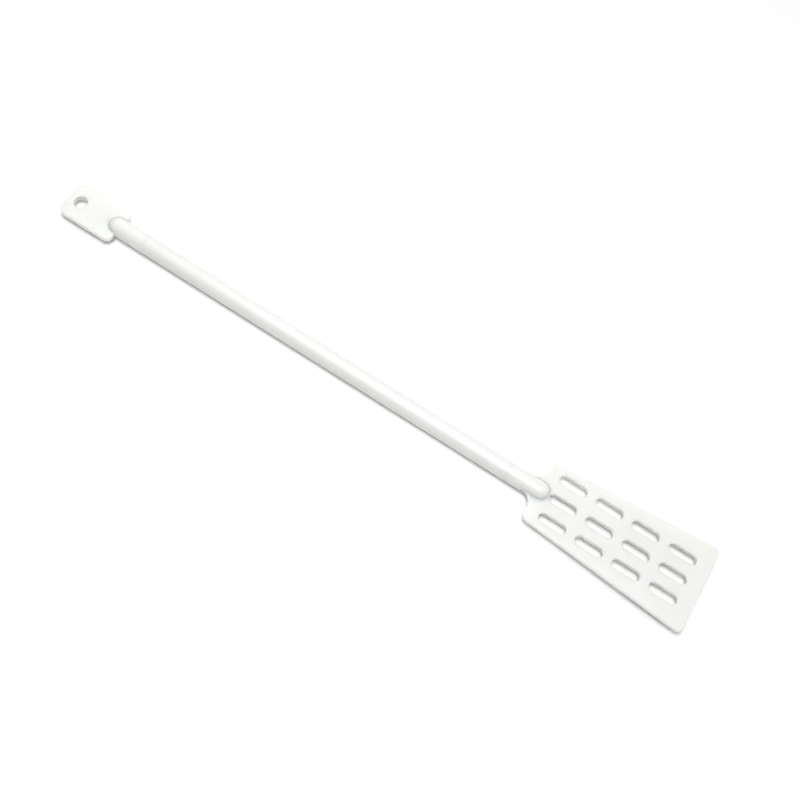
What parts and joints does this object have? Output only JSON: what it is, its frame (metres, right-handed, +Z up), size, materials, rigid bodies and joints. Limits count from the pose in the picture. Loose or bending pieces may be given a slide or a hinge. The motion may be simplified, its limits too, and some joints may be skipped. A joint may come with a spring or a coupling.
{
  "type": "paint stirring paddle",
  "caption": "White plastic hand stirring paddle: slotted trapezoid blade, long round handle and a small hanging tab with a hole.",
  "frame": {"origin": "on the surface that the handle lies on, midway along the paddle and under the handle's axis", "axes": "+X along the handle from the hanging tab to the blade, +Z up, out of the plates' upper faces"},
  "size_m": [0.6, 0.077, 0.016],
  "materials": {
    "blade_plastic": "satin white moulded plastic",
    "handle_plastic": "satin white moulded plastic, smoother than the plates",
    "tab_plastic": "satin white moulded plastic"
  },
  "bodies": {
    "root": {"slotted_blade": "blade_plastic", "blade_socket": "handle_plastic", "handle_tube": "handle_plastic", "tab_socket": "handle_plastic", "hanging_tab": "tab_plastic"}
  },
  "joints": []
}
